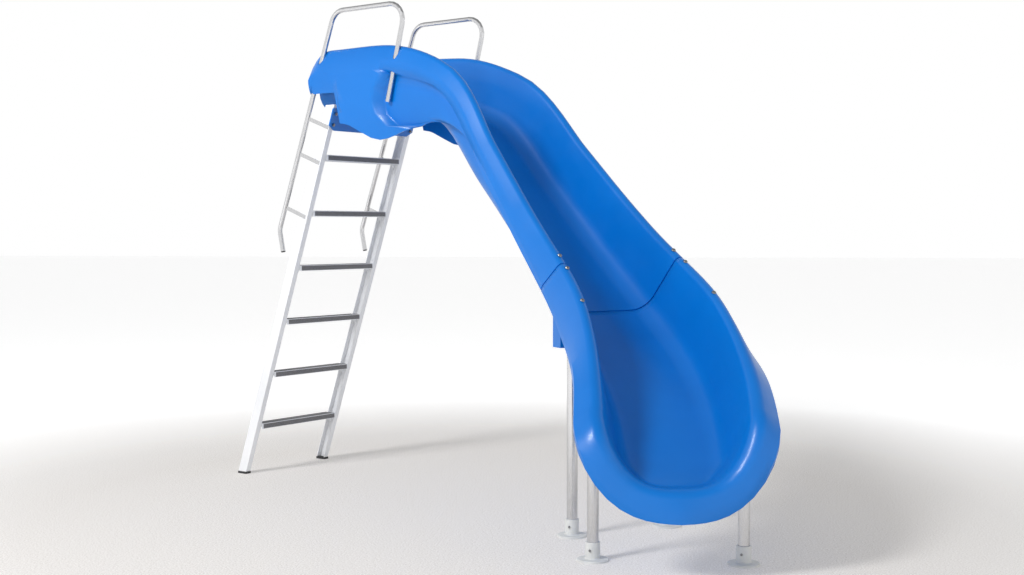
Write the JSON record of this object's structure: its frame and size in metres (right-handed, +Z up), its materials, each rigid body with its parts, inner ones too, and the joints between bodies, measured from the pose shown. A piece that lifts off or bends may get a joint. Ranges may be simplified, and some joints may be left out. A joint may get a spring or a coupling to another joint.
{
  "type": "pool slide",
  "caption": "Right-turning moulded blue pool slide with a white ladder, steel handrails and four round steel legs.",
  "frame": {"origin": "footprint centre of the slide at deck level, where its feet stand", "axes": "+Z up; +X from the ladder side towards the exit side; -Y the way the rider leaves the exit"},
  "size_m": [2.8129, 2.7826, 2.495],
  "materials": {
    "blue_shell": "glossy moulded surface, faint orange-peel",
    "white_powder_coat": "white powder coat, slight texture; gritty strip on treads",
    "stainless_tube": "polished tube with fine lengthwise grain",
    "pale_foot": "satin moulded",
    "ladder_foot_rubber": "matt",
    "tube_plug": "satin",
    "fastener": "plain stainless"
  },
  "bodies": {
    "root": {"foot_exit_left": "pale_foot", "foot_exit_right": "pale_foot", "foot_mid_left": "pale_foot", "foot_mid_right": "pale_foot", "handrail_bracket_left_1": "stainless_tube", "handrail_bracket_left_2": "stainless_tube", "handrail_bracket_left_3": "stainless_tube", "handrail_bracket_right_1": "stainless_tube", "handrail_bracket_right_2": "stainless_tube", "handrail_bracket_right_3": "stainless_tube", "handrail_left": "stainless_tube", "handrail_plug_left": "tube_plug", "handrail_plug_right": "tube_plug", "handrail_right": "stainless_tube", "ladder_foot_left": "ladder_foot_rubber", "ladder_foot_right": "ladder_foot_rubber", "ladder_nut_left_1": "fastener", "ladder_nut_left_2": "fastener", "ladder_nut_right_1": "fastener", "ladder_nut_right_2": "fastener", "ladder_rail_left": "white_powder_coat", "ladder_rail_right": "white_powder_coat", "leg_exit_left": "stainless_tube", "leg_exit_right": "stainless_tube", "leg_mid_left": "stainless_tube", "leg_mid_right": "stainless_tube", "lower_flume": "blue_shell", "rim_bolt_joint_lower_left": "fastener", "rim_bolt_joint_lower_right": "fastener", "rim_bolt_joint_upper_left": "fastener", "rim_bolt_joint_upper_right": "fastener", "rim_bolt_support_left": "fastener", "rim_bolt_support_right": "fastener", "set_screw_exit_left": "fastener", "set_screw_exit_right": "fastener", "set_screw_mid_left": "fastener", "set_screw_mid_right": "fastener", "tread_1": "white_powder_coat", "tread_2": "white_powder_coat", "tread_3": "white_powder_coat", "tread_4": "white_powder_coat", "tread_5": "white_powder_coat", "tread_6": "white_powder_coat", "upper_flume": "blue_shell"}
  },
  "joints": []
}
